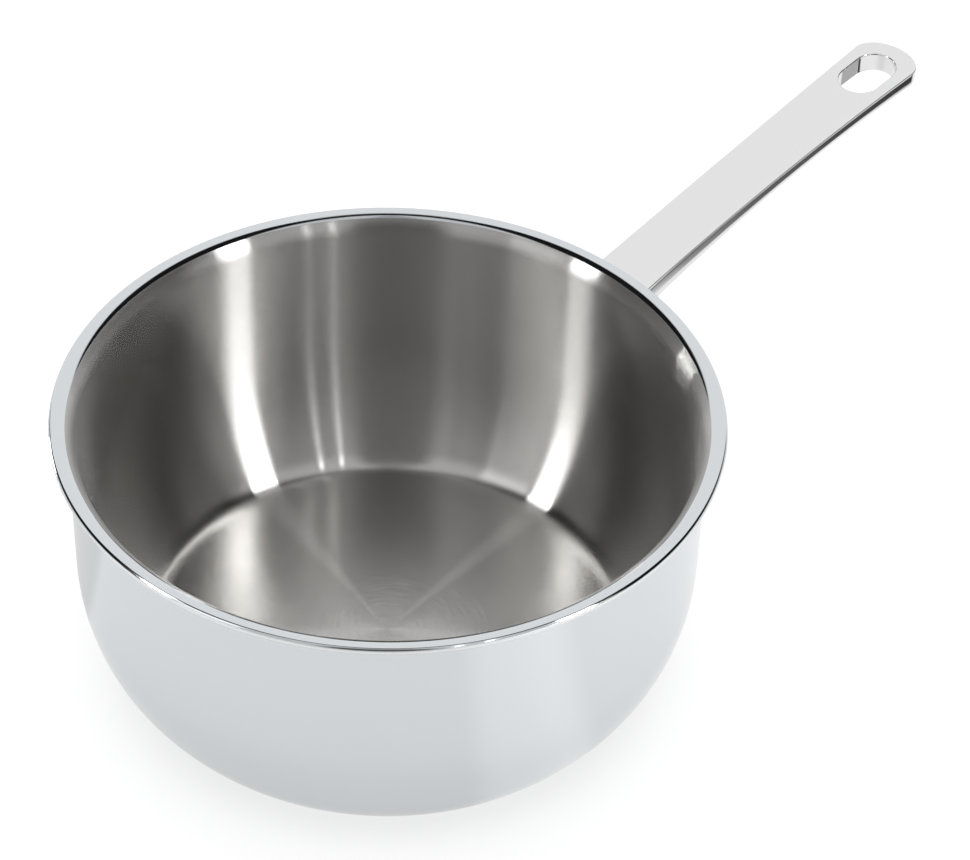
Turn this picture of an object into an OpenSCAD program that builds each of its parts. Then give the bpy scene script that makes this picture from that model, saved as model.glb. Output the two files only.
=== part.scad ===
// Saucier pan with a clad stainless body, a flared pouring lip and a welded strap handle.
// The origin is the centre of the base's underside, Z is up and the handle points along +X.

/* [Bowl] */
// Outside radius of the straight upper wall
wall_r = 102.5; // [80:0.5:130]
// Height of the rim's top above the table
bowl_h = 101; // [85:1:140]
// Height at which the straight wall starts to curve inwards
curve_z = 46; // [36:1:58]
// Radius of the long curve from the wall towards the base
curve_r = 62; // [50:1:90]
// Radius of the tight corner between the long curve and the flat base
corner_r = 10; // [6:1:20]

/* [Clad layers] */
// Thickness of the outer steel skin
jacket_t = 0.6; // [0.4:0.1:1]
// Thickness of the aluminium between the skins
core_t = 1.3; // [0.8:0.1:2]
// Thickness of the inner steel skin
liner_t = 0.6; // [0.4:0.1:1]

/* [Pouring lip] */
// Radius of the bend that flares the wall outwards, on the outside
lip_bend_r = 4.6; // [3.6:0.1:5.2]
// Reach of the lip's edge beyond the inside wall
lip_reach = 8.2; // [7.4:0.1:8.8]

/* [Handle] */
// Length of the handle beyond the lip's edge
handle_l = 165.2; // [120:1:220]
// Depth of the handle's top face below the rim, at the lip's edge
handle_drop = 13; // [12:0.1:20]
// Slope of the handle's top face at the lip's edge, in degrees
handle_rise = 9.4; // [0:0.1:20]
// Radius of the long downward bow of the top face
handle_bow_r = 1880; // [900:10:4000]
// Width of the handle at the lip's edge
root_w = 22.3; // [18:0.1:30]
// Width of the handle half way along
middle_w = 22.5; // [18:0.1:30]
// Width of the handle at its tip
tip_w = 27.2; // [22:0.1:34]
// Thickness of the handle at the lip's edge
root_t = 12; // [9:0.1:14]
// Thickness of the handle half way along
middle_t = 7; // [5:0.1:10]
// Thickness of the handle at its tip
tip_t = 8; // [6:0.1:11]
// Length of the rounded end of the handle
tip_round = 9.2; // [6:0.1:12]
// Upright part of the side as a share of the thickness
side_share = 0.5; // [0.3:0.05:0.7]
// Distance by which the lower edges round inwards
edge_in = 3.5; // [2:0.1:5]
// Depth of the hollow along the underside
hollow_d = 2.4; // [0:0.1:3]
// Length over which the hollow deepens, from the lip's edge on
hollow_run = 30; // [10:1:80]

/* [Hanging slot] */
// Length of the slot from end to end
slot_l = 24.6; // [18:0.1:30]
// Width of the slot
slot_w = 15.4; // [10:0.1:17]
// Metal left between the slot and the handle's tip
slot_margin = 7; // [5:0.1:12]

/* [Weld] */
// Leg of the weld bead around the handle's foot
weld_leg = 2.4; // [1.5:0.1:3]

/* [Hidden] */
$fn = 128;
eps = 0.01;

// Depths of the layer boundaries below the outside surface
core_at = jacket_t;
liner_at = jacket_t + core_t;
wall_t = jacket_t + core_t + liner_t;

// Centres of the two curves that every layer of the bowl shares, measured from the axis
curve_x = wall_r - curve_r;
corner_x = curve_x + sqrt(pow(curve_r - corner_r, 2) - pow(curve_z - corner_r, 2));
top_z = bowl_h + wall_r;

// The lip is one bend from the wall to about level, and the rim is round over its whole thickness
inner_r = wall_r - wall_t;
lip_edge_r = inner_r + lip_reach;
bend_top_r = lip_bend_r + wall_t;
bend_x = inner_r + bend_top_r;
bend_z = bowl_h - bend_top_r;
rim_turn = asin((lip_edge_r - wall_t / 2 - bend_x) / (bend_top_r - wall_t / 2));

// Facets of the round cut that seats the handle and the weld on the wall
seat_fn = 720;

// The handle starts inside the wall, where it is cut to fit, and ends at its tip
handle_start = wall_r - 6;
handle_end = lip_edge_r + handle_l;
handle_top = bowl_h - handle_drop;
edge_break = 0.6;
blunt = 0.08;
body_rings = 26;
tip_rings = 8;
edge_points = 5;
hollow_points = 4;

// Quadratic through three values: at the lip's edge, half way along and at the tip
function along(a, b, c, u) = a * (1 - u) * (1 - 2 * u) + 4 * b * u * (1 - u) + c * u * (2 * u - 1);
function part_way(x) = max(0, (x - lip_edge_r) / handle_l);
function rise(x) = tan(handle_rise) * (x - lip_edge_r) - pow(x - lip_edge_r, 2) / (2 * handle_bow_r);
function end_share(x) = x < handle_end - tip_round ? 1
    : sqrt(max(0, 1 - pow((x - handle_end + tip_round) / tip_round, 2)));

// Right half of the handle's section at x, from the top edge round to the middle of the underside
function half_section(x, grow) =
    let (
        u = part_way(x),
        share = max(blunt, end_share(x)),
        w = along(root_w, middle_w, tip_w, u) / 2 * share + grow,
        t = along(root_t, middle_t, tip_t, u) + 2 * grow,
        z = handle_top + rise(x) + grow,
        chamfer = min(edge_break, w / 2),
        inset = min(edge_in, w / 2),
        side = t * side_share,
        hollow = hollow_d * share * min(1, u * handle_l / hollow_run)
    )
    concat(
        [[w - chamfer, z], [w, z - chamfer]],
        [for (i = [0:edge_points]) let (a = 90 * i / edge_points)
            [w - inset * (1 - cos(a)), z - side - (t - side) * sin(a)]],
        [for (i = [1:hollow_points]) let (y = (w - inset) * (1 - i / (hollow_points + 0.5)))
            [y, z - t + hollow * (1 + cos(180 * y / (w - inset))) / 2]]
    );

// Closed section at x as points in space, right side down and left side back up
function section(x, grow) =
    let (right = half_section(x, grow), n = len(right))
    concat(
        [for (p = right) [x, -p[0], p[1]]],
        [for (i = [1:n]) [x, right[n - i][0], right[n - i][1]]]
    );

// Skin through sections that all have the same number of points
module skin(sections) {
    n = len(sections[0]);
    rings = len(sections);
    sides = [for (r = [0:rings - 2]) for (i = [0:n - 1]) let (a = r * n + i, b = r * n + (i + 1) % n)
        each [[a, a + n, b], [b, a + n, b + n]]];
    caps = [[for (i = [0:n - 1]) i], [for (i = [0:n - 1]) rings * n - 1 - i]];
    polyhedron(points = [for (s = sections) each s], faces = concat(sides, caps));
}

// Half outline of the bowl, solid inside, with its outside moved in by depth
module bowl_half(depth) {
    translate([0, curve_z]) square([wall_r - depth, top_z - curve_z]);
    polygon([
        [0, depth], [corner_x, depth], [corner_x, corner_r], [curve_x, curve_z + eps], [0, curve_z + eps]
    ]);
    translate([corner_x, corner_r]) circle(corner_r - depth);
    intersection() {
        translate([curve_x, curve_z]) circle(curve_r - depth);
        polygon([
            [curve_x, curve_z],
            [curve_x + 3 * (corner_x - curve_x), curve_z + 3 * (corner_r - curve_z)],
            [curve_x + 3 * curve_r, curve_z + 3 * (corner_r - curve_z)],
            [curve_x + 3 * curve_r, curve_z]
        ]);
    }
}

// Half section between two depths, up to a height
module layer_half(from, to, height) {
    intersection() {
        difference() {
            bowl_half(from);
            bowl_half(to);
        }
        square([wall_r + 1, height]);
    }
}

// Ring between two depths below a radius
module ring(r, from, to) {
    difference() {
        circle(r - from);
        circle(r - to);
    }
}

// Wedge between two slopes, for a ring about the origin
module wedge(from, to) {
    far = 3 * bend_top_r;
    polygon([[0, 0], [far * sin(from), far * cos(from)], [far * sin(to), far * cos(to)]]);
}

// Half section of the lip between two depths below its top surface
module lip_half(from, to) {
    translate([bend_x, bend_z]) intersection() {
        ring(bend_top_r, from, to);
        union() {
            wedge(-90, rim_turn);
            rotate(-rim_turn) translate([0, bend_top_r - wall_t / 2]) circle(wall_t / 2);
        }
    }
}

// Outer skin: base, wall and the lip's underside
module outer_jacket() {
    color("gainsboro") rotate_extrude() {
        layer_half(0, core_at, bend_z);
        lip_half(liner_t + core_t, wall_t);
    }
}

// Heat-spreading layer, which shows as a line around the rim
module aluminium_core() {
    color("silver") rotate_extrude() {
        layer_half(core_at, liner_at, bend_z);
        lip_half(liner_t, liner_t + core_t);
    }
}

// Inner skin: floor, wall and the lip's top surface
module inner_liner() {
    color("darkgray") rotate_extrude() {
        layer_half(liner_at, wall_t, bend_z);
        lip_half(0, liner_t);
    }
}

// Slot through the handle, with round ends
module hanging_slot() {
    reach = (slot_l - slot_w) / 2;
    slot_x = handle_end - slot_margin - slot_l / 2;
    translate([slot_x, 0, handle_top - root_t]) {
        for (side = [-1, 1]) translate([side * reach, 0, 0]) cylinder(h = handle_l, d = slot_w);
        translate([-reach, -slot_w / 2, 0]) cube([2 * reach, slot_w, handle_l]);
    }
}

// Strap from inside the wall to the tip, before it is cut to the wall
module handle_blank() {
    body_end = handle_end - tip_round;
    body = [for (i = [0:body_rings]) handle_start + (body_end - handle_start) * i / body_rings];
    tip = [for (i = [1:tip_rings]) body_end + tip_round * sin(90 * i / tip_rings)];
    skin([for (x = concat(body, tip)) section(x, 0)]);
}

module handle() {
    color("lightgray") difference() {
        handle_blank();
        cylinder(h = top_z, r = wall_r, $fn = seat_fn);
        hanging_slot();
    }
}

// Bead around the handle's foot, thinning away from the wall
module weld_seam() {
    toe = 0.3;
    back = wall_r - handle_start;
    color("silver") difference() {
        skin([
            section(handle_start, weld_leg + back * (weld_leg - toe) / weld_leg),
            section(wall_r + weld_leg, toe)
        ]);
        cylinder(h = top_z, r = wall_r, $fn = seat_fn);
        handle_blank();
    }
}

outer_jacket();
aluminium_core();
inner_liner();
handle();
weld_seam();
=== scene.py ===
"""Looks of a saucier pan: a clad stainless bowl with a flared pouring lip and a welded strap handle.

Every size is in metres in the part's own frame: the origin is the centre of the base's underside, Z is up
and the handle points along +X. The pieces are lathed and swept surfaces worked out with numpy.
"""

import math

import bmesh
import bpy
import numpy as np
from mathutils import Matrix, Vector


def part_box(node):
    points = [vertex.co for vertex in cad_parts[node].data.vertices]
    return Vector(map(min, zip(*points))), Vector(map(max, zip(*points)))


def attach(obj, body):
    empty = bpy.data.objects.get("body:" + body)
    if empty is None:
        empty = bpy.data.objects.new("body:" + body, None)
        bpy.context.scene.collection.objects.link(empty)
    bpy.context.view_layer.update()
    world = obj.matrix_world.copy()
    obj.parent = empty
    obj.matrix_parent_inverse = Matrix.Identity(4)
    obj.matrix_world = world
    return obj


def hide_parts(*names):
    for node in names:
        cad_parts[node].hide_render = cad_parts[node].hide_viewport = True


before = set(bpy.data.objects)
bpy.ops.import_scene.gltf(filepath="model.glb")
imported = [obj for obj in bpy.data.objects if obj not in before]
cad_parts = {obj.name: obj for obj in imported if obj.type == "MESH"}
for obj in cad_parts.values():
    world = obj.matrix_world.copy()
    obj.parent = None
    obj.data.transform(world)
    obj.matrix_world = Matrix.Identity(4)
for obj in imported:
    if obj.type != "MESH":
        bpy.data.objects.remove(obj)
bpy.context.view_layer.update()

bl_info = {
    "name": "Saucier Pan",
    "version": (1, 0, 0),
    "blender": (4, 5, 0),
    "location": "3D View > Sidebar > Saucier",
    "description": "Builds the pieces, finishes and studio of a stainless saucier pan",
    "category": "Add Mesh",
}

BODY = "root"
MM = 0.001
LINER_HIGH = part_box("inner_liner")[1]
CORE_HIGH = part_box("aluminium_core")[1]
HANDLE_LOW, HANDLE_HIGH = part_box("handle")
IMAGE_SIZE = (970, 860)
SENSOR_MM = 36.0


def length(name, description, default):
    """A size in metres that the user can change."""
    return bpy.props.FloatProperty(
        name=name, description=description, default=default, unit="LENGTH", precision=5
    )


def angle(name, description, degrees):
    """An angle that the user can change, given here in degrees."""
    return bpy.props.FloatProperty(
        name=name, description=description, default=math.radians(degrees), subtype="ANGLE"
    )


def number(name, description, default):
    """A plain number that the user can change."""
    return bpy.props.FloatProperty(name=name, description=description, default=default, precision=4)


def linear(hex_colour):
    """Linear red, green and blue of an sRGB hex colour such as #e0e0de."""
    parts = np.array([int(hex_colour[i : i + 2], 16) for i in (1, 3, 5)]) / 255
    low = parts / 12.92
    high = ((parts + 0.055) / 1.055) ** 2.4
    return tuple(float(x) for x in np.where(parts <= 0.04045, low, high))


def colour(name, description, hex_colour):
    """A colour that the user can change, given here as sRGB hex."""
    return bpy.props.FloatVectorProperty(
        name=name, description=description, default=linear(hex_colour), subtype="COLOR", size=3, min=0, max=1
    )


class SaucierBowl(bpy.types.PropertyGroup):
    """Sizes of the bowl, its three layers and its lip."""

    height: length("Height", "Height of the rim's top above the table", LINER_HIGH.z)
    wall_radius: length("Wall radius", "Outside radius of the straight upper wall", 102.5 * MM)
    curve_height: length("Curve height", "Height at which the wall starts to curve in", 46 * MM)
    curve_radius: length("Curve radius", "Radius of the long curve towards the base", 62 * MM)
    corner_radius: length("Corner radius", "Radius of the tight corner at the base", 10 * MM)
    ease: length("Ease", "Distance over which one curve runs smoothly into the next", 2.5 * MM)
    jacket: length("Jacket", "Thickness of the outer steel skin", 0.6 * MM)
    core: length("Core", "Thickness of the aluminium layer", 1.3 * MM)
    liner: length("Liner", "Thickness of the inner steel skin", 0.6 * MM)
    lip_bend: length("Lip bend", "Radius of the bend that flares the wall outwards, on the outside", 4.6 * MM)
    lip_edge: length("Lip edge", "Radius of the lip's outer edge", CORE_HIGH.x)
    polish_slope: angle("Polish slope", "Slope below which the lip's top is mirror polished", 35)


class SaucierHandle(bpy.types.PropertyGroup):
    """Sizes of the strap handle, its hanging slot and the weld at its foot."""

    tip: length("Tip", "Distance of the handle's tip from the pan's axis", HANDLE_HIGH.x)
    root: length("Root", "Distance of the lip's edge from the axis, where the strap comes out", CORE_HIGH.x)
    drop: length("Drop", "Depth of the top face below the rim at the lip's edge", 13 * MM)
    rise: angle("Rise", "Slope of the top face at the lip's edge", 9.4)
    bow_radius: length("Bow radius", "Radius of the long downward bow of the top face", 1.88)
    root_width: length("Root width", "Width at the lip's edge", 22.3 * MM)
    middle_width: length("Middle width", "Width half way along", 22.5 * MM)
    tip_width: length("Tip width", "Width at the tip", HANDLE_HIGH.y - HANDLE_LOW.y)
    root_thickness: length("Root thickness", "Thickness at the lip's edge", 12 * MM)
    middle_thickness: length("Middle thickness", "Thickness half way along", 7 * MM)
    tip_thickness: length("Tip thickness", "Thickness at the tip", 8 * MM)
    tip_round: length("Tip round", "Length of the rounded end", 9.2 * MM)
    side_share: number("Side share", "Upright part of the side as a share of the thickness", 0.5)
    edge_in: length("Edge in", "Distance by which the lower edges round inwards", 3.5 * MM)
    top_edge: length("Top edge", "Radius of the rounding along the top edges", 0.35 * MM)
    hollow: length("Hollow", "Depth of the hollow along the underside", 2.4 * MM)
    hollow_run: length("Hollow run", "Length over which the hollow deepens or fades", 30 * MM)
    slot_length: length("Slot length", "Length of the hanging slot", 24.6 * MM)
    slot_width: length("Slot width", "Width of the hanging slot", 15.4 * MM)
    slot_margin: length("Slot margin", "Metal between the slot and the tip", 7 * MM)
    slot_edge: length("Slot edge", "Radius of the rounding along the slot's edges", 0.4 * MM)
    weld_leg: length("Weld leg", "Leg of the weld bead around the foot", 2.4 * MM)


class SaucierFinish(bpy.types.PropertyGroup):
    """Colours of the metals."""

    mirror: colour("Mirror steel", "Reflection colour of the polished outside", "#d3d7da")
    satin: colour("Satin steel", "Reflection colour of the brushed inside", "#c6c5c3")
    cast: colour("Handle steel", "Reflection colour of the polished handle", "#e2e2e2")
    weld: colour("Weld", "Reflection colour of the dressed weld", "#b9b7b3")
    core: colour("Aluminium", "Reflection colour of the sealed core", "#e6e7e8")
    floor: colour("Floor", "Colour of the studio floor", "#f4f4f4")


class SaucierStudio(bpy.types.PropertyGroup):
    """Camera and light."""

    azimuth: angle("Azimuth", "Direction that the camera looks in, from +Y", -49.3)
    elevation: angle("Elevation", "Angle at which the camera looks down", 40.96)
    roll: angle("Roll", "Turn of the camera about its own axis", 2.153)
    distance: length("Distance", "Depth of the rim's centre from the camera", 971.7 * MM)
    focal_px: number("Focal length", "Focal length in pixels of the photograph", 3043.3)
    lamp_distance: length("Lamp distance", "Distance of each softbox from the pan", 1.2)
    rim_px_x: number("Rim centre across", "Pixel at which the rim's centre lies, from the left", 389.3)
    rim_px_y: number("Rim centre down", "Pixel at which the rim's centre lies, from the top", 409.6)


def add(tree, kind, inputs=None, **settings):
    """Adds a node of a kind to a tree, applies its settings, and sets or links each named input."""
    node = tree.nodes.new(kind)
    for key, value in settings.items():
        setattr(node, key, value)
    for socket, value in (inputs or {}).items():
        if isinstance(value, bpy.types.NodeSocket):
            tree.links.new(value, node.inputs[socket])
        else:
            node.inputs[socket].default_value = value
    return node


def bare(name):
    """A new material with an empty node tree."""
    material = bpy.data.materials.new(name)
    material.use_nodes = True
    material.node_tree.nodes.clear()
    return material, material.node_tree


def metal(name, tint, roughness):
    """A plain metal: one Principled shader, with its node tree and shader returned for more detail."""
    material, tree = bare(name)
    values = {"Base Color": (*tint, 1), "Metallic": 1.0, "Roughness": roughness}
    shader = add(tree, "ShaderNodeBsdfPrincipled", values)
    add(tree, "ShaderNodeOutputMaterial", {"Surface": shader.outputs["BSDF"]})
    return material, tree, shader


def turned_coordinates(tree, around, track_mm):
    """Coordinates along the lathe's turning: slow around the axis, one unit per track_mm along the profile.

    The track is radius plus height, which grows both across the floor and up the wall.
    """
    place = add(tree, "ShaderNodeTexCoord").outputs["Object"]
    xyz = add(tree, "ShaderNodeSeparateXYZ", {"Vector": place})
    flat = add(tree, "ShaderNodeCombineXYZ", {"X": xyz.outputs["X"], "Y": xyz.outputs["Y"]}).outputs[0]
    radius = add(tree, "ShaderNodeVectorMath", {0: flat}, operation="LENGTH").outputs["Value"]
    heading = add(tree, "ShaderNodeVectorMath", {0: flat}, operation="NORMALIZE").outputs["Vector"]
    slow = add(tree, "ShaderNodeVectorMath", {0: heading, "Scale": around}, operation="SCALE").outputs[0]
    track = add(tree, "ShaderNodeMath", {0: radius, 1: xyz.outputs["Z"]}, operation="ADD").outputs[0]
    fast = add(tree, "ShaderNodeMath", {0: track, 1: 1 / (track_mm * MM)}, operation="MULTIPLY").outputs[0]
    rise = add(tree, "ShaderNodeCombineXYZ", {"Z": fast}).outputs[0]
    return add(tree, "ShaderNodeVectorMath", {0: slow, 1: rise}, operation="ADD").outputs["Vector"]


def turning_direction(tree):
    """Unit vector that runs around the axis, along the brush lines."""
    place = add(tree, "ShaderNodeTexCoord").outputs["Object"]
    xyz = add(tree, "ShaderNodeSeparateXYZ", {"Vector": place})
    back = add(tree, "ShaderNodeMath", {0: xyz.outputs["Y"], 1: -1.0}, operation="MULTIPLY").outputs[0]
    across = add(tree, "ShaderNodeCombineXYZ", {"X": back, "Y": xyz.outputs["X"]}).outputs[0]
    return add(tree, "ShaderNodeVectorMath", {0: across}, operation="NORMALIZE").outputs["Vector"]


MIRROR_NAME = "Mirror-polished stainless steel"


def mirror_polished_steel(tint):
    """Ferritic stainless, buffed to a mirror: sharp reflections with a buffing wheel's faint haze."""
    if MIRROR_NAME in bpy.data.materials:
        return bpy.data.materials[MIRROR_NAME]
    material, tree, shader = metal(MIRROR_NAME, tint, 0.08)
    haze_mm = 25
    place = add(tree, "ShaderNodeTexCoord").outputs["Object"]
    cloud = add(tree, "ShaderNodeTexNoise", {"Vector": place, "Scale": 1 / (haze_mm * MM), "Detail": 3.0})
    haze = {"Value": cloud.outputs["Fac"], "To Min": 0.06, "To Max": 0.11}
    roughness = add(tree, "ShaderNodeMapRange", haze).outputs["Result"]
    tree.links.new(roughness, shader.inputs["Roughness"])
    return material


def turned_satin_steel(tint):
    """Austenitic stainless, brushed on a lathe: fine ring-shaped lines spread a reflection up and down.

    The real lines are some 0.05 mm apart. They are drawn 0.3 mm apart, about one pixel of the render.
    """
    material, tree = bare("Lathe-brushed stainless steel")
    line_mm = 0.3
    slope = 0.05
    # The floor is brushed finer than the wall: roughness below one height and above the other
    floor_roughness, wall_roughness = 0.135, 0.24
    floor_mm, wall_mm = 4, 9
    place = add(tree, "ShaderNodeTexCoord").outputs["Object"]
    height = add(tree, "ShaderNodeSeparateXYZ", {"Vector": place}).outputs["Z"]
    finer = {
        "Value": height,
        "From Min": floor_mm * MM,
        "From Max": wall_mm * MM,
        "To Min": floor_roughness,
        "To Max": wall_roughness,
    }
    roughness = add(tree, "ShaderNodeMapRange", finer, interpolation_type="SMOOTHSTEP").outputs["Result"]
    around = turning_direction(tree)
    normal = add(tree, "ShaderNodeNewGeometry").outputs["Normal"]
    across = add(tree, "ShaderNodeVectorMath", {0: normal, 1: around}, operation="CROSS_PRODUCT").outputs[0]
    turned = turned_coordinates(tree, 3, line_mm)
    lines = add(tree, "ShaderNodeTexNoise", {"Vector": turned, "Scale": 1.0, "Detail": 1.0}).outputs["Fac"]
    tilt = add(tree, "ShaderNodeMapRange", {"Value": lines, "To Min": -slope, "To Max": slope}).outputs[0]
    lean = add(tree, "ShaderNodeVectorMath", {0: across, "Scale": tilt}, operation="SCALE").outputs["Vector"]
    leaning = add(tree, "ShaderNodeVectorMath", {0: normal, 1: lean}, operation="ADD").outputs["Vector"]
    facing = add(tree, "ShaderNodeVectorMath", {0: leaning}, operation="NORMALIZE").outputs["Vector"]
    steel = add(
        tree,
        "ShaderNodeBsdfAnisotropic",
        {
            "Color": (*tint, 1),
            "Roughness": roughness,
            "Anisotropy": 0.85,
            "Normal": facing,
            "Tangent": around,
        },
        distribution="MULTI_GGX",
    )
    add(tree, "ShaderNodeOutputMaterial", {"Surface": steel.outputs["BSDF"]})
    return material


def polished_cast_steel(tint):
    """Solid stainless, ground and polished along the strap: bright, with faint streaks along its length."""
    material, tree, shader = metal("Polished solid stainless steel", tint, 0.08)
    place = add(tree, "ShaderNodeTexCoord").outputs["Object"]
    marks_per_metre = (40, 700, 200)
    streak = add(tree, "ShaderNodeMapping", {"Vector": place, "Scale": marks_per_metre}).outputs["Vector"]
    marks = add(tree, "ShaderNodeTexNoise", {"Vector": streak, "Scale": 1.0, "Detail": 3.0})
    haze = {"Value": marks.outputs["Fac"], "To Min": 0.05, "To Max": 0.1}
    roughness = add(tree, "ShaderNodeMapRange", haze).outputs["Result"]
    tree.links.new(roughness, shader.inputs["Roughness"])
    return material


def dressed_weld_steel(tint):
    """Weld metal, wire-brushed after welding: duller than the pan, with small ripples."""
    material, tree, shader = metal("Dressed stainless weld", tint, 0.35)
    place = add(tree, "ShaderNodeTexCoord").outputs["Object"]
    grain_mm, depth_mm = 0.8, 0.1
    grain = add(tree, "ShaderNodeTexNoise", {"Vector": place, "Scale": 1 / (grain_mm * MM), "Detail": 3.0})
    relief = {"Height": grain.outputs["Fac"], "Strength": 0.4, "Distance": depth_mm * MM}
    bump = add(tree, "ShaderNodeBump", relief)
    tree.links.new(bump.outputs["Normal"], shader.inputs["Normal"])
    return material


def rolled_aluminium(tint):
    """Aluminium sheet, ground flush at the rim: a pale line between the skins, duller in places."""
    material, tree, shader = metal("Rolled aluminium", tint, 0.35)
    patch_mm = 4
    place = add(tree, "ShaderNodeTexCoord").outputs["Object"]
    patches = add(tree, "ShaderNodeTexNoise", {"Vector": place, "Scale": 1 / (patch_mm * MM), "Detail": 3.0})
    dullness = {"Value": patches.outputs["Fac"], "To Min": 0.26, "To Max": 0.44}
    roughness = add(tree, "ShaderNodeMapRange", dullness).outputs["Result"]
    tree.links.new(roughness, shader.inputs["Roughness"])
    return material


def arc(centre, radius, start, end, count):
    """Points on a circle in the profile plane, from one angle to another in degrees."""
    a = np.radians(np.linspace(start, end, count))
    return np.stack([centre[0] + radius * np.cos(a), centre[1] + radius * np.sin(a)], 1)


def line(start, end, count):
    """Evenly spaced points from start to end."""
    return np.linspace(start, end, count)


def joined(*parts):
    """Runs of profile points joined end to end, with repeated points left out."""
    points = np.concatenate(parts)
    step = np.hypot(*np.diff(points, axis=0).T)
    return points[np.concatenate([[True], step > 0.01 * MM])]


def eased(points, width, spacing):
    """The same outline with its curvature made smooth.

    The outline is resampled at an even spacing, padded by turning each end about its last point, and
    averaged with a bell-shaped weight of the given width, so that lines stay straight and joints between
    arcs lose their kink.
    """
    run = np.concatenate([[0], np.cumsum(np.hypot(*np.diff(points, axis=0).T))])
    at = np.linspace(0, run[-1], int(run[-1] / spacing) + 1)
    even = np.stack([np.interp(at, run, points[:, i]) for i in (0, 1)], 1)
    half = int(3 * width / spacing)
    before = 2 * even[0] - even[half:0:-1]
    after = 2 * even[-1] - even[-2 : -half - 2 : -1]
    padded = np.concatenate([before, even, after])
    weight = np.exp(-0.5 * (np.arange(-half, half + 1) * spacing / width) ** 2)
    weight /= weight.sum()
    return np.stack([np.convolve(padded[:, i], weight, "valid") for i in (0, 1)], 1)


def bowl_profile(bowl, depth, top):
    """Floor and wall at a depth below the outside, from the axis to a height.

    Floor, tight corner, long curve and straight wall share their centres at every depth, so the layers
    are parallel.
    """
    curve_x = bowl.wall_radius - bowl.curve_radius
    reach = bowl.curve_radius - bowl.corner_radius
    fall = bowl.curve_height - bowl.corner_radius
    corner_x = curve_x + math.sqrt(reach**2 - fall**2)
    turn = -math.degrees(math.asin(fall / reach))
    wall = bowl.wall_radius - depth
    outline = joined(
        line((0, depth), (corner_x, depth), 60),
        arc((corner_x, bowl.corner_radius), bowl.corner_radius - depth, -90, turn, 30),
        arc((curve_x, bowl.curve_height), bowl.curve_radius - depth, turn, 0, 60),
        line((wall, bowl.curve_height), (wall, top), 30),
    )
    spacing, turn_degrees, gap = 0.5 * MM, 2.0, 8 * MM
    return thinned(eased(outline, bowl.ease, spacing), turn_degrees, gap)


def thinned(points, turn, gap):
    """The same outline with fewer points: one for each turn in degrees or gap in length, added together."""
    step = np.diff(points, axis=0)
    heading = np.unwrap(np.arctan2(step[:, 1], step[:, 0]))
    bend = np.degrees(np.abs(np.diff(heading, prepend=heading[0])))
    effort = np.concatenate([[0], np.cumsum(bend / turn + np.hypot(*step.T) / gap)])
    at = np.linspace(0, effort[-1], int(effort[-1]) + 2)
    return np.stack([np.interp(at, effort, points[:, i]) for i in (0, 1)], 1)


class Lip:
    """Where the lip's bend and round edge lie, worked out from the bowl's sizes.

    The bend flares the wall outwards to about level, and a round edge as thick as the wall ends it.
    """

    def __init__(self, bowl):
        self.thickness = bowl.jacket + bowl.core + bowl.liner
        self.bend_r = bowl.lip_bend + self.thickness
        self.bend = np.array([bowl.wall_radius + bowl.lip_bend, bowl.height - self.bend_r])
        self.middle = self.bend_r - self.thickness / 2
        self.rim_turn = math.asin((bowl.lip_edge - self.thickness / 2 - self.bend[0]) / self.middle)
        self.rim = self.bend + self.middle * np.array([math.sin(self.rim_turn), math.cos(self.rim_turn)])
        self.polish_at = 90 + math.degrees(bowl.polish_slope)

    def end_turn(self, depth):
        """Slope at which the bend, at a depth below the top, meets the round edge."""
        radius = self.bend_r - depth
        share = (radius**2 + self.middle**2 - (self.thickness / 2) ** 2) / (2 * radius * self.middle)
        return self.rim_turn + math.acos(min(1, share))

    def low_bend(self, depth):
        """Bend at a depth below the top, from the wall to where the polish starts."""
        return arc(self.bend, self.bend_r - depth, 180, self.polish_at, 20)

    def high_bend(self, depth):
        """Bend at a depth below the top, from where the polish starts to the round edge."""
        end = 90 - math.degrees(self.end_turn(depth))
        return arc(self.bend, self.bend_r - depth, self.polish_at, end, 26)

    def rim_arc(self, depth_from, depth_to, count):
        """Round edge between two depths."""
        ends = [
            self.bend + (self.bend_r - d) * np.array([math.sin(self.end_turn(d)), math.cos(self.end_turn(d))])
            for d in (depth_from, depth_to)
        ]
        start, end = (math.degrees(math.atan2(*(p - self.rim)[::-1])) for p in ends)
        return arc(self.rim, self.thickness / 2, start, end, count)


def lathe(profile, segments):
    """Surface of revolution of a profile of (radius, height) points that starts and ends on the axis.

    Point (i, j) is (r_i cos a_j, r_i sin a_j, z_i) with a_j evenly spaced. Rows on the axis collapse to
    one point.
    """
    r, z = profile[:, 0], profile[:, 1]
    a = np.linspace(0, 2 * np.pi, segments, endpoint=False)
    grid = np.stack([np.outer(r, np.cos(a)), np.outer(r, np.sin(a)), np.repeat(z[:, None], segments, 1)], -1)
    row = np.arange(len(r) - 1)[:, None] * segments
    here = np.arange(segments)[None, :]
    after = (here + 1) % segments
    quads = np.stack([row + here, row + after, row + segments + after, row + segments + here], -1)
    return grid.reshape(-1, 3), quads.reshape(-1, 4)


# Points closer than this are one point
MERGE = 0.002 * MM


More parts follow.
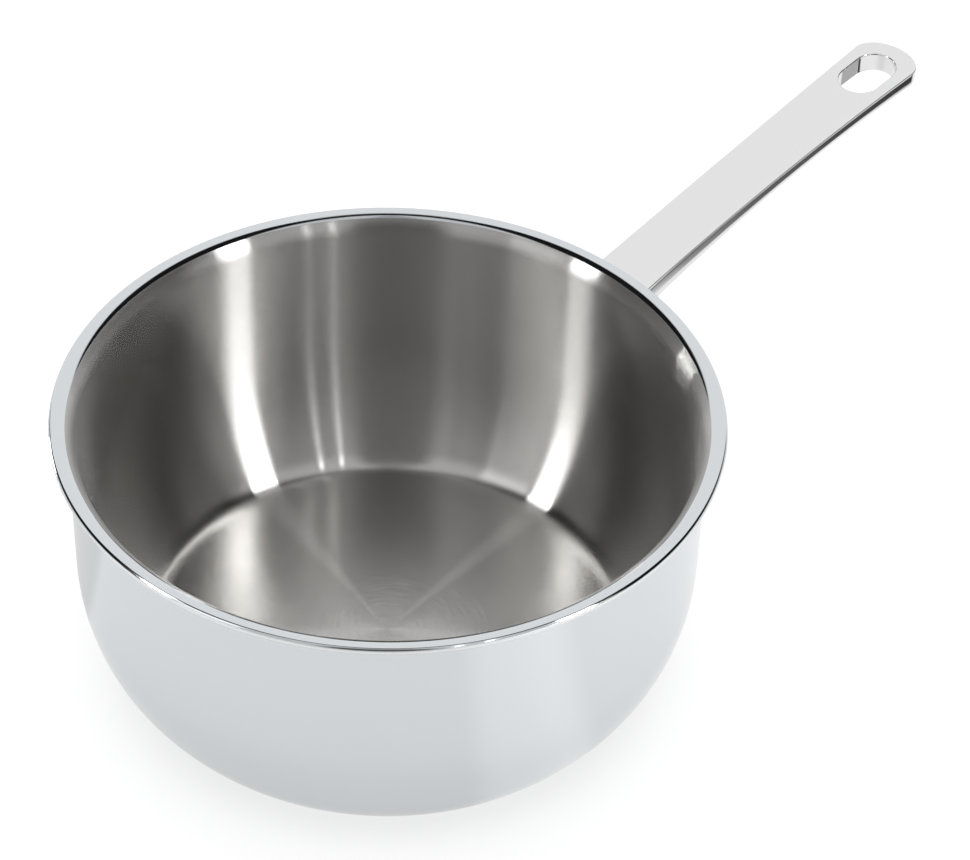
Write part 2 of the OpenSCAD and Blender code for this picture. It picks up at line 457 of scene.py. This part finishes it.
def put_mesh(name, points, faces, materials, face_slots=None):
    """Makes a piece from points and quads: merges what coincides, turns faces outwards, shades smooth."""
    mesh = bpy.data.meshes.new(name)
    mesh.from_pydata(points.tolist(), [], faces.tolist())
    if face_slots is not None:
        mesh.polygons.foreach_set("material_index", face_slots.astype(np.int32))
    shape = bmesh.new()
    shape.from_mesh(mesh)
    bmesh.ops.remove_doubles(shape, verts=shape.verts, dist=MERGE)
    bmesh.ops.delete(shape, geom=[v for v in shape.verts if not v.link_faces])
    bmesh.ops.recalc_face_normals(shape, faces=shape.faces)
    shape.to_mesh(mesh)
    shape.free()
    for material in materials:
        mesh.materials.append(material)
    mesh.polygons.foreach_set("use_smooth", np.ones(len(mesh.polygons), bool))
    piece = bpy.data.objects.new(name, mesh)
    bpy.context.scene.collection.objects.link(piece)
    return piece


def settle(piece, node):
    """Parents a piece to the body that it rides on and hides the CAD part that it stands for."""
    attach(piece, BODY)
    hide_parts(node)


# Steps around the bowl
SEGMENTS = 320


def layer(bowl, outer, inner):
    """Closed profile of one layer of the wall between two depths below the outside: its parts in order.

    The parts are the bowl and both runs of the bend on the inside, the round edge, and the same back on
    the outside.
    """
    lip = Lip(bowl)
    top_inner = lip.thickness - inner
    top_outer = lip.thickness - outer
    return [
        bowl_profile(bowl, inner, lip.bend[1]),
        lip.low_bend(top_inner),
        lip.high_bend(top_inner),
        lip.rim_arc(top_inner, top_outer, 14),
        lip.high_bend(top_outer)[::-1],
        lip.low_bend(top_outer)[::-1],
        bowl_profile(bowl, outer, lip.bend[1])[::-1],
    ]


def put_layer(name, node, parts, materials, polished_from=None):
    """Lathes a layer. Faces after the part polished_from take the second material."""
    profile = np.concatenate(parts)
    points, quads = lathe(profile, SEGMENTS)
    slots = np.zeros(len(profile) - 1, int)
    if polished_from is not None:
        start = sum(len(part) for part in parts[:polished_from])
        slots[start - 1 :] = 1
    piece = put_mesh(name, points, quads, materials, np.repeat(slots, SEGMENTS))
    settle(piece, node)


class SAUCIER_OT_jacket(bpy.types.Operator):
    """Outer skin: base, wall and the underside of the lip"""

    bl_idname = "saucier.jacket"
    bl_label = "Outer jacket"

    def execute(self, context):
        bowl = context.scene.saucier_bowl
        steel = mirror_polished_steel(context.scene.saucier_finish.mirror)
        put_layer("outer_jacket_skin", "outer_jacket", layer(bowl, 0, bowl.jacket), [steel])
        return {"FINISHED"}


class SAUCIER_OT_core(bpy.types.Operator):
    """Aluminium layer, whose edge shows as a line around the rim"""

    bl_idname = "saucier.core"
    bl_label = "Aluminium core"

    def execute(self, context):
        bowl = context.scene.saucier_bowl
        aluminium = rolled_aluminium(context.scene.saucier_finish.core)
        parts = layer(bowl, bowl.jacket, bowl.jacket + bowl.core)
        put_layer("aluminium_core_sheet", "aluminium_core", parts, [aluminium])
        return {"FINISHED"}


class SAUCIER_OT_liner(bpy.types.Operator):
    """Inner skin: brushed floor, wall and bend, and the polished top of the lip"""

    bl_idname = "saucier.liner"
    bl_label = "Inner liner"

    def execute(self, context):
        bowl = context.scene.saucier_bowl
        finish = context.scene.saucier_finish
        parts = layer(bowl, bowl.jacket + bowl.core, bowl.jacket + bowl.core + bowl.liner)
        materials = [turned_satin_steel(finish.satin), mirror_polished_steel(finish.mirror)]
        put_layer("inner_liner_skin", "inner_liner", parts, materials, polished_from=2)
        return {"FINISHED"}


def along(root, middle, tip, u):
    """Quadratic through three values: at the lip's edge, half way along and at the tip."""
    return root * (1 - u) * (1 - 2 * u) + 4 * middle * u * (1 - u) + tip * u * (2 * u - 1)


def smooth(t):
    """Smooth step from 0 to 1."""
    t = np.clip(t, 0, 1)
    return t * t * (3 - 2 * t)


def strap_shape(handle, rim_height):
    """Functions of the distance x from the axis: top, half width, thickness, and hollow at a width y."""
    run = handle.tip - handle.root

    def share(x):
        return np.maximum(0, (x - handle.root) / run)

    def top(x):
        d = x - handle.root
        return rim_height - handle.drop + math.tan(handle.rise) * d - d**2 / (2 * handle.bow_radius)

    def half_width(x):
        return along(handle.root_width, handle.middle_width, handle.tip_width, share(x)) / 2

    def thickness(x):
        return along(handle.root_thickness, handle.middle_thickness, handle.tip_thickness, share(x))

    def hollow(x, y):
        fade = smooth((x - handle.root) / handle.hollow_run)
        fade = fade * smooth((handle.tip - handle.slot_margin / 2 - x) / (handle.hollow_run / 3))
        across = np.clip(np.abs(y) / (half_width(x) - handle.edge_in), 0, 1)
        return handle.hollow * fade * (1 + np.cos(np.pi * across)) / 2

    return top, half_width, thickness, hollow


def strap_outline(handle, half_width, xs_side, tip_count):
    """Right edge of the strap in plan, from the root to the tip, and its outward normals.

    The side follows the half width. The end is a quarter of an ellipse, tip_round long.
    """
    body_end = handle.tip - handle.tip_round
    a = np.linspace(0, np.pi / 2, tip_count + 1)[1:]
    end = np.stack([body_end + handle.tip_round * np.sin(a), half_width(body_end) * np.cos(a)], 1)
    side = np.stack([xs_side, half_width(xs_side)], 1)
    outline = np.concatenate([side, end])
    step = np.gradient(outline, axis=0)
    step[-1] = (0, -1)
    normal = np.stack([-step[:, 1], step[:, 0]], 1)
    normal /= np.hypot(*normal.T)[:, None]
    return outline, normal


def slot_outline(handle, grow, share):
    """Right half of the slot's outline, grown outwards, from root end to tip end, by share of its length.

    It is a quarter circle, a straight side and a quarter circle.
    """
    radius = handle.slot_width / 2
    straight = handle.slot_length - handle.slot_width
    centre = handle.tip - handle.slot_margin - handle.slot_length / 2
    turn = np.pi / 2 * radius
    total = 2 * turn + straight
    s = share * total
    first = np.clip(s / radius, 0, np.pi / 2)
    last = np.clip((s - turn - straight) / radius, 0, np.pi / 2)
    across = np.clip(s - turn, 0, straight) - straight / 2
    angle_at = np.pi - first - last
    out = radius + grow
    return np.stack([centre + across + out * np.cos(angle_at), out * np.sin(angle_at)], 1)


def handle_half(handle, bowl):
    """Right half of the handle as a grid: rows run from the root to the tip, columns run around the section.

    Each row joins a point on the spine to a point on the outline. The spine is the middle line up to the
    slot and then the slot's own outline. The columns run across the top, round the edge, down the side,
    round the lower edge and back along the hollow underside to the spine. Beyond the slot's start they
    close down the slot's wall.
    """
    top, half_width, thickness, hollow = strap_shape(handle, bowl.height)
    slot_start = handle.tip - handle.slot_margin - handle.slot_length
    edge_r = handle.slot_edge
    wall = bowl.wall_radius
    strap_x = np.concatenate([[wall, wall + 2 * MM], np.linspace(wall + 4 * MM, slot_start - edge_r, 60)])
    ring_count = 64
    side_x = np.linspace(slot_start - edge_r, handle.tip - handle.tip_round, 34)[1:]
    tip_count = ring_count - len(side_x)
    outline, normal = strap_outline(handle, half_width, np.concatenate([strap_x, side_x]), tip_count)
    ring_share = np.linspace(0, 1, ring_count + 1)
    spine_strap = np.stack([strap_x, 0 * strap_x], 1)[:-1]
    first_slot = len(spine_strap)

    def spine(grow):
        return np.concatenate([spine_strap, slot_outline(handle, grow, ring_share)])

    columns = []

    def column(plan, z):
        columns.append(np.concatenate([plan, z[:, None]], 1))

    x_out = outline[:, 0]
    top_out, thick = top(x_out), thickness(x_out)
    upright = thick * handle.side_share
    inner = spine(edge_r)
    rim_in = outline - normal * handle.top_edge
    for t in (0, 0.08, 0.3, 0.6, 0.9, 0.97, 1):
        plan = inner + (rim_in - inner) * t
        column(plan, top(plan[:, 0]))
    top_edge = handle.top_edge
    for a in np.radians((22.5, 45, 67.5, 90)):
        column(outline - normal * top_edge * (1 - math.sin(a)), top_out - top_edge * (1 - math.cos(a)))
    for t in (0.2, 0.85):
        column(outline, top_out - top_edge - t * (upright - top_edge))
    for a in np.radians(np.linspace(0, 90, 9)):
        in_by = handle.edge_in * (1 - math.cos(a))
        column(outline - normal * in_by, top_out - upright - (thick - upright) * math.sin(a))
    rail = outline - normal * handle.edge_in
    for t in (0.08, 0.25, 0.5, 0.75, 0.92, 1):
        plan = rail + (inner - rail) * t
        column(plan, top(plan[:, 0]) - thickness(plan[:, 0]) + hollow(plan[:, 0], plan[:, 1]))
    outer_count = len(columns)
    # The slot's wall, from the underside up. A column close to each rounding keeps its shading flat
    low_edge = columns[-1][:, 2]
    high_edge = columns[0][:, 2]
    for a in np.radians((30, 60, 90)):
        column(spine(edge_r * (1 - math.sin(a))), low_edge + edge_r * (1 - math.cos(a)))
    past_rounding = edge_r * 1.3
    column(spine(0), low_edge + past_rounding)
    column(spine(0), high_edge - past_rounding)
    for a in np.radians((90, 60, 30)):
        column(spine(edge_r * (1 - math.sin(a))), high_edge - edge_r * (1 - math.cos(a)))
    grid = np.stack(columns, 1)
    return grid, first_slot, outer_count


# Depth by which the handle's foot reaches into the wall
SINK = 0.2 * MM


class SAUCIER_OT_handle(bpy.types.Operator):
    """Solid strap handle with its hanging slot"""

    bl_idname = "saucier.handle"
    bl_label = "Handle"

    def execute(self, context):
        bowl = context.scene.saucier_bowl
        handle = context.scene.saucier_handle
        finish = context.scene.saucier_finish
        grid, first_slot, outer = handle_half(handle, bowl)
        rows, cols = grid.shape[:2]
        grid[0, :, 0] = np.sqrt(bowl.wall_radius**2 - grid[0, :, 1] ** 2) - SINK
        foot = grid[:1].copy()
        foot[..., 0] = bowl.wall_radius - SINK
        foot[..., 1] = 0
        foot[..., 2] = grid[0, :, 2].mean()
        grid = np.concatenate([foot, grid])
        first_slot += 1
        rows += 1
        index = np.arange(rows * cols).reshape(rows, cols)
        after = np.roll(index, -1, 1)
        quads = np.stack([index[:-1], index[1:], after[1:], after[:-1]], -1)
        keep = np.ones(quads.shape[:2], bool)
        keep[:first_slot, outer - 1 :] = False
        quads = quads[keep]
        right = grid.reshape(-1, 3)
        left = right * (1, -1, 1)
        points = np.concatenate([right, left])
        faces = np.concatenate([quads, quads[:, ::-1] + len(right)])
        piece = put_mesh("strap_handle", points, faces, [polished_cast_steel(finish.cast)])
        settle(piece, "handle")
        return {"FINISHED"}


def bead(handle, bowl):
    """Weld bead around the handle's foot as a closed grid.

    A round-topped fillet is carried along the outline of the handle's foot, resampled at an even spacing.
    One leg lies on the wall, pointing away from the handle, and the other on the handle. Both swell and
    shrink by a few hundredths at each ripple of the weld.
    """
    grid, _, outer = handle_half(handle, bowl)
    side = grid[1, :outer, 1:]
    loop = joined(side * (-1, 1), side[::-1])
    run = np.concatenate([[0], np.cumsum(np.hypot(*np.diff(loop, axis=0).T))])
    path_count = 420
    at = np.linspace(0, run[-1], path_count, endpoint=False)
    path = np.stack([np.interp(at, run, loop[:, i]) for i in (0, 1)], 1)
    along_path = np.roll(path, -2, 0) - np.roll(path, 2, 0)
    outward = np.stack([along_path[:, 1], -along_path[:, 0]], 1)
    outward /= np.hypot(*outward.T)[:, None]
    if ((path - path.mean(0)) * outward).sum() < 0:
        outward = -outward
    kernel = np.ones(9) / 9
    outward = np.stack([np.convolve(np.pad(outward[:, i], 4, "wrap"), kernel, "valid") for i in (0, 1)], 1)
    ripple_mm, ripple_height, waves, wave_height = 1.3, 0.05, 5, 0.03
    phase = at / run[-1] * round(run[-1] / (ripple_mm * MM))
    ripples = ripple_height * (1 - 2 * np.abs(phase % 1 - 0.5))
    swell = 1 + ripples + wave_height * np.sin(2 * np.pi * waves * at / run[-1])
    a = np.radians(np.linspace(0, 90, 9))
    dip, flatness = 0.72, 1.2
    face = np.stack([1 - dip * np.sin(a) ** flatness, 1 - dip * np.cos(a) ** flatness], 1)
    face = (face - face.min(0)) / (face.max(0) - face.min(0))
    # The section goes on a little into the wall and the handle, so that no gap shows
    buried, past_leg = -0.12, 1.02
    section = np.concatenate([[(past_leg, buried)], face, [(buried, past_leg)], [(buried, buried)]])
    out = section[None, :, 0] * swell[:, None] * handle.weld_leg
    off = section[None, :, 1] * swell[:, None] * handle.weld_leg
    y = path[:, None, 0] + outward[:, None, 0] * out
    z = path[:, None, 1] + outward[:, None, 1] * out
    wall = np.sqrt(bowl.wall_radius**2 - y**2)
    heading = np.arcsin(y / bowl.wall_radius)
    return np.stack([wall + off * np.cos(heading), y + off * np.sin(heading), z], -1)


class SAUCIER_OT_weld(bpy.types.Operator):
    """Weld bead around the handle's foot"""

    bl_idname = "saucier.weld"
    bl_label = "Weld seam"

    def execute(self, context):
        scene = context.scene
        points = bead(scene.saucier_handle, scene.saucier_bowl)
        rows, cols = points.shape[:2]
        index = np.arange(rows * cols).reshape(rows, cols)
        down, across = np.roll(index, -1, 0), np.roll(index, -1, 1)
        quads = np.stack([index, across, np.roll(across, -1, 0), down], -1).reshape(-1, 4)
        steel = dressed_weld_steel(scene.saucier_finish.weld)
        piece = put_mesh("weld_bead", points.reshape(-1, 3), quads, [steel])
        settle(piece, "weld_seam")
        return {"FINISHED"}


def camera_axes(studio):
    """Right, up and back of the camera as columns, in the part's frame."""
    level = Vector((-math.sin(studio.azimuth), math.cos(studio.azimuth), 0))
    side = Vector((math.cos(studio.azimuth), math.sin(studio.azimuth), 0))
    rise = Vector((0, 0, 1))
    forward = level * math.cos(studio.elevation) - rise * math.sin(studio.elevation)
    up = level * math.sin(studio.elevation) + rise * math.cos(studio.elevation)
    right = side * math.cos(studio.roll) + up * math.sin(studio.roll)
    above = up * math.cos(studio.roll) - side * math.sin(studio.roll)
    return Matrix((right, above, -forward)).transposed()


def put_camera(studio, rim_centre):
    """Camera whose picture holds the rim's centre at its pixel, at its depth."""
    axes = camera_axes(studio)
    across = (studio.rim_px_x - IMAGE_SIZE[0] / 2) / studio.focal_px
    down = (studio.rim_px_y - IMAGE_SIZE[1] / 2) / studio.focal_px
    ray = Vector((across, -down, -1)) * studio.distance
    data = bpy.data.cameras.new("Camera")
    data.sensor_width = SENSOR_MM
    data.lens = studio.focal_px / IMAGE_SIZE[0] * SENSOR_MM
    data.clip_end = 50
    camera = bpy.data.objects.new("Camera", data)
    camera.matrix_world = Matrix.Translation(rim_centre - axes @ ray) @ axes.to_4x4()
    bpy.context.scene.collection.objects.link(camera)
    bpy.context.scene.camera = camera


def put_softbox(name, studio, around, elevation, size, brightness):
    """Rectangular lamp that faces the pan. around is its turn from straight behind it, to the right.

    Brush lines along a direction spread the lamp to the camera where they stand square to half-way
    between the two. The lamp's long side keeps to the directions that share those lines, so it shows as
    one narrow upright stripe.
    """
    heading = math.pi / 2 + studio.azimuth - math.radians(around)
    lift = math.radians(elevation)
    toward = Vector((math.cos(heading) * math.cos(lift), math.sin(heading) * math.cos(lift), math.sin(lift)))
    data = bpy.data.lights.new(name, "AREA")
    data.shape = "RECTANGLE"
    data.size, data.size_y = size
    data.energy = brightness * math.pi * size[0] * size[1]
    lamp = bpy.data.objects.new(name, data)
    half_way = toward + camera_axes(studio).col[2]
    brush = Vector((-half_way.y, half_way.x, 0)).normalized()
    tall = toward.cross(brush).normalized()
    turn = Matrix((tall.cross(toward), tall, toward)).transposed().to_4x4()
    lamp.matrix_world = Matrix.Translation(toward * studio.lamp_distance) @ turn
    lamp.visible_camera = False
    lamp.visible_diffuse = False
    bpy.context.scene.collection.objects.link(lamp)


def seen_directly(tree, mirrored):
    """1 for rays from the camera, the value of mirrored for reflections, 0 for light that falls on things."""
    path = add(tree, "ShaderNodeLightPath").outputs
    dimmed = {0: path["Is Glossy Ray"], 1: mirrored}
    glossy = add(tree, "ShaderNodeMath", dimmed, operation="MULTIPLY").outputs[0]
    clear = {0: path["Is Camera Ray"], 1: path["Is Transmission Ray"]}
    seen = add(tree, "ShaderNodeMath", clear, operation="MAXIMUM").outputs[0]
    return add(tree, "ShaderNodeMath", {0: seen, 1: glossy}, operation="MAXIMUM").outputs[0]


def sine(degrees):
    """Height of a direction of length 1 at this elevation."""
    return math.sin(math.radians(degrees))


def cosine(degrees):
    """Dot product of two directions of length 1 that are this far apart."""
    return math.cos(math.radians(degrees))


# Painted light and shade on the floor, seen only in reflections, which make bands on the pan's outside
# lighter and darker: the heading of each, from the picture's right, how far from it the change starts and
# where it is whole, all in degrees, and the change in brightness
FLOOR_LIGHT = (
    (-52, 18, 6, 0.14),
    (15, 75, 55, 0.08),
    (160, 24, 18, -0.2),
)


def pale_floor(tint, studio):
    """Matt white floor. What sees it directly also sees its own glow, so that the shadow on it stays light.

    Reflections see a little less of the glow, as painted shade, with the painted light and shade of
    FLOOR_LIGHT.
    """
    material, tree = bare("Matt white floor")
    glow_share = 0.75
    place = add(tree, "ShaderNodeTexCoord").outputs["Object"]
    heading = add(tree, "ShaderNodeVectorMath", {0: place}, operation="NORMALIZE").outputs["Vector"]
    # Glow that reflections see: painted shade, plus the painted light and shade of FLOOR_LIGHT
    mirrored = 0.8
    for around, widest, narrowest, amount in FLOOR_LIGHT:
        turn = studio.azimuth + math.radians(around)
        toward = (math.cos(turn), math.sin(turn), 0)
        pair = {0: heading, 1: toward}
        near = add(tree, "ShaderNodeVectorMath", pair, operation="DOT_PRODUCT").outputs["Value"]
        change = {"Value": near, "From Min": cosine(widest), "From Max": cosine(narrowest), "To Max": amount}
        patch = add(tree, "ShaderNodeMapRange", change, interpolation_type="SMOOTHSTEP").outputs["Result"]
        mirrored = add(tree, "ShaderNodeMath", {0: patch, 1: mirrored}, operation="ADD").outputs[0]
    matt = add(tree, "ShaderNodeBsdfDiffuse", {"Color": (*tint, 1)})
    glow = add(tree, "ShaderNodeEmission", {"Color": (1, 1, 1, 1), "Strength": seen_directly(tree, mirrored)})
    both = add(tree, "ShaderNodeMixShader", {0: glow_share, 1: matt.outputs[0], 2: glow.outputs[0]})
    add(tree, "ShaderNodeOutputMaterial", {"Surface": both.outputs[0]})
    return material


def put_card(name, corners, start, end, shades):
    """Glowing card near the pan that only reflections see: a painted reflection. Its shade changes between
    two places on x.
    """
    mesh = bpy.data.meshes.new(name)
    mesh.from_pydata(corners, [], [tuple(range(len(corners)))])
    card = bpy.data.objects.new(name, mesh)
    material, tree = bare("Grey card")
    place = add(tree, "ShaderNodeTexCoord").outputs["Object"]
    x = add(tree, "ShaderNodeSeparateXYZ", {"Vector": place}).outputs["X"]
    along_x = {"Value": x, "From Min": start, "From Max": end, "To Min": shades[0], "To Max": shades[1]}
    shade = add(tree, "ShaderNodeMapRange", along_x, interpolation_type="SMOOTHSTEP").outputs["Result"]
    paint = add(tree, "ShaderNodeEmission", {"Color": (1, 1, 1, 1), "Strength": shade})
    add(tree, "ShaderNodeOutputMaterial", {"Surface": paint.outputs[0]})
    mesh.materials.append(material)
    bpy.context.scene.collection.objects.link(card)
    card.visible_camera = False
    card.visible_diffuse = False
    card.visible_shadow = False


def studio_world(studio):
    """Surroundings of the pan, for reflections and light. The camera sees white everywhere.

    A white backdrop stands behind the pan, under a dark ceiling, with dark curtains on both sides. A grey
    room lies on the camera's side, and straight behind the camera it is darker, and paler with height. A
    white band runs round the horizon, except near the camera. The brightest of these wins at each place.
    """
    world = bpy.data.worlds.new("Studio")
    world.use_nodes = True
    tree = world.node_tree
    tree.nodes.clear()
    direction = add(tree, "ShaderNodeTexCoord").outputs["Generated"]
    xyz = add(tree, "ShaderNodeSeparateXYZ", {"Vector": direction})
    height = xyz.outputs["Z"]
    level = add(tree, "ShaderNodeCombineXYZ", {"X": xyz.outputs["X"], "Y": xyz.outputs["Y"]}).outputs[0]
    heading = add(tree, "ShaderNodeVectorMath", {0: level}, operation="NORMALIZE").outputs["Vector"]
    away = (-math.sin(studio.azimuth), math.cos(studio.azimuth), 0)
    # 1 straight behind the pan and -1 straight behind the camera
    depth = add(tree, "ShaderNodeVectorMath", {0: heading, 1: away}, operation="DOT_PRODUCT").outputs["Value"]
    # What each part goes by, the two values between which it changes, and its brightness or share at both
    changes = {
        "backdrop": (depth, 0.72, 0.77, 0.0, 1.0),
        "below ceiling": (height, sine(74), sine(82), 1.0, 0.0),
        "behind camera": (height, sine(40), sine(80), 0.08, 0.4),
        "room": (depth, -0.3, -0.15, 0.7, 0.01),
        "near camera": (depth, -0.98, -0.93, 1.0, 0.0),
        "low": (height, sine(7), sine(12), 1.0, 0.0),
        "away from camera": (depth, -0.9, -0.7, 0.0, 1.0),
    }
    part = {}
    for name, (value, start, end, first, last) in changes.items():
        change = {"Value": value, "From Min": start, "From Max": end, "To Min": first, "To Max": last}
        part[name] = add(tree, "ShaderNodeMapRange", change, interpolation_type="SMOOTHSTEP").outputs[0]
    white = {0: part["backdrop"], 1: part["below ceiling"]}
    white = add(tree, "ShaderNodeMath", white, operation="MULTIPLY").outputs[0]
    rest = {"Factor": part["near camera"], "A": part["room"], "B": part["behind camera"]}
    rest = add(tree, "ShaderNodeMix", rest).outputs["Result"]
    band = {0: part["low"], 1: part["away from camera"]}
    band = add(tree, "ShaderNodeMath", band, operation="MULTIPLY").outputs[0]
    strength = add(tree, "ShaderNodeLightPath").outputs["Is Camera Ray"]
    for seen in (white, rest, band):
        strength = add(tree, "ShaderNodeMath", {0: strength, 1: seen}, operation="MAXIMUM").outputs[0]
    light = add(tree, "ShaderNodeBackground", {"Color": (1, 1, 1, 1), "Strength": strength})
    add(tree, "ShaderNodeOutputWorld", {"Surface": light.outputs[0]})
    bpy.context.scene.world = world


def put_mirrored_card(name, eye, face_y, ends, shades):
    """Card on the floor, where an upright face along the handle mirrors it to the camera's eye.

    Each end of the face is a distance from the axis and the lowest and highest place that mirrors the
    card. The line of sight to each such place turns about in y there and goes on down to the floor.
    """
    lift = Vector((0, 0, 0.5 * MM))
    edges = []
    for x, low, high in ends:
        for z in (low, high):
            point = Vector((x, face_y, z))
            ray = point - eye
            mirrored = Vector((ray.x, -ray.y, ray.z))
            edges.append(point + mirrored * (z / -mirrored.z) + lift)
    near_low, near_high, far_low, far_high = edges
    put_card(name, (near_low, far_low, far_high, near_high), near_low.x, far_low.x, shades)


def put_handle_cards(handle, eye):
    """Dark card that paints a dark reflection on the upper part of the handle's side, and a grey card that
    paints a grey reflection on the slot's wall.
    """
    past_tip = handle.tip + 40 * MM
    side = ((handle.root, 83 * MM, 130 * MM), (past_tip, 111 * MM, 150 * MM))
    put_mirrored_card("side_card", eye, -handle.root_width / 2, side, (0.16, 0.02))
    slot_end = handle.tip - handle.slot_margin + 2 * MM
    slot_start = handle.tip - handle.slot_margin - handle.slot_length - 4 * MM
    wall = ((slot_start, 80 * MM, 115 * MM), (slot_end, 90 * MM, 118 * MM))
    put_mirrored_card("slot_card", eye, handle.slot_width / 2, wall, (0.5, 0.5))


def put_top_light():
    """Large lamp above, for the matt floor only, which makes it white with a soft shadow."""
    width, height, watts = 1.6, 1.2, 26
    data = bpy.data.lights.new("top light", "AREA")
    data.shape = "DISK"
    data.size = width
    data.energy = watts
    lamp = bpy.data.objects.new("top light", data)
    lamp.location = (0, 0, height)
    lamp.visible_camera = False
    lamp.visible_glossy = False
    bpy.context.scene.collection.objects.link(lamp)


# Each lamp's turn and elevation in degrees, its width and height in metres, and its brightness
LAMPS = {
    "right softbox": (115, 42, 0.17, 0.8, 10),
    "left softbox": (-103, 42, 0.15, 0.8, 8),
    "wide softbox": (-124, 42, 0.34, 0.8, 0.7),
    "first strip light": (145, 42, 0.03, 0.8, 2.5),
    "second strip light": (155, 42, 0.03, 0.8, 2.5),
    "low light": (-60, 7, 0.2, 0.12, 20),
}


class SAUCIER_OT_studio(bpy.types.Operator):
    """Camera, floor, lamps and surroundings"""

    bl_idname = "saucier.studio"
    bl_label = "Studio"

    def execute(self, context):
        scene = context.scene
        studio = scene.saucier_studio
        scene.view_settings.view_transform = "Standard"
        put_camera(studio, Vector((0, 0, scene.saucier_bowl.height)))
        # The floor lies just under the base, so that the two never share a plane
        half, low = 4.0, -0.3 * MM
        corners = np.array([(-half, -half, low), (half, -half, low), (half, half, low), (-half, half, low)])
        white = pale_floor(scene.saucier_finish.floor, studio)
        floor = put_mesh("studio_floor", corners, np.array([[0, 1, 2, 3]]), [white])
        put_handle_cards(scene.saucier_handle, scene.camera.location)
        put_top_light()
        studio_world(studio)
        for name, (around, elevation, width, height, brightness) in LAMPS.items():
            put_softbox(name, studio, around, elevation, (width, height), brightness)
        return {"FINISHED"}


OPERATORS = (
    SAUCIER_OT_jacket,
    SAUCIER_OT_core,
    SAUCIER_OT_liner,
    SAUCIER_OT_handle,
    SAUCIER_OT_weld,
    SAUCIER_OT_studio,
)
GROUPS = {
    "saucier_bowl": SaucierBowl,
    "saucier_handle": SaucierHandle,
    "saucier_finish": SaucierFinish,
    "saucier_studio": SaucierStudio,
}


class SAUCIER_PT_panel(bpy.types.Panel):
    """Sizes, finishes and the button for each piece"""

    bl_idname = "SAUCIER_PT_panel"
    bl_label = "Saucier pan"
    bl_space_type = "VIEW_3D"
    bl_region_type = "UI"
    bl_category = "Saucier"

    def draw(self, context):
        for key, group in GROUPS.items():
            box = self.layout.box()
            for name in group.__annotations__:
                box.prop(getattr(context.scene, key), name)
        for operator in OPERATORS:
            self.layout.operator(operator.bl_idname)


def register():
    for group in GROUPS.values():
        bpy.utils.register_class(group)
    for key, group in GROUPS.items():
        setattr(bpy.types.Scene, key, bpy.props.PointerProperty(type=group))
    for operator in OPERATORS:
        bpy.utils.register_class(operator)
    bpy.utils.register_class(SAUCIER_PT_panel)


def unregister():
    bpy.utils.unregister_class(SAUCIER_PT_panel)
    for operator in OPERATORS:
        bpy.utils.unregister_class(operator)
    for key in GROUPS:
        delattr(bpy.types.Scene, key)
    for group in GROUPS.values():
        bpy.utils.unregister_class(group)


def main():
    register()
    for operator in OPERATORS:
        module, name = operator.bl_idname.split(".")
        getattr(getattr(bpy.ops, module), name)()


if __name__ == "__main__":
    main()
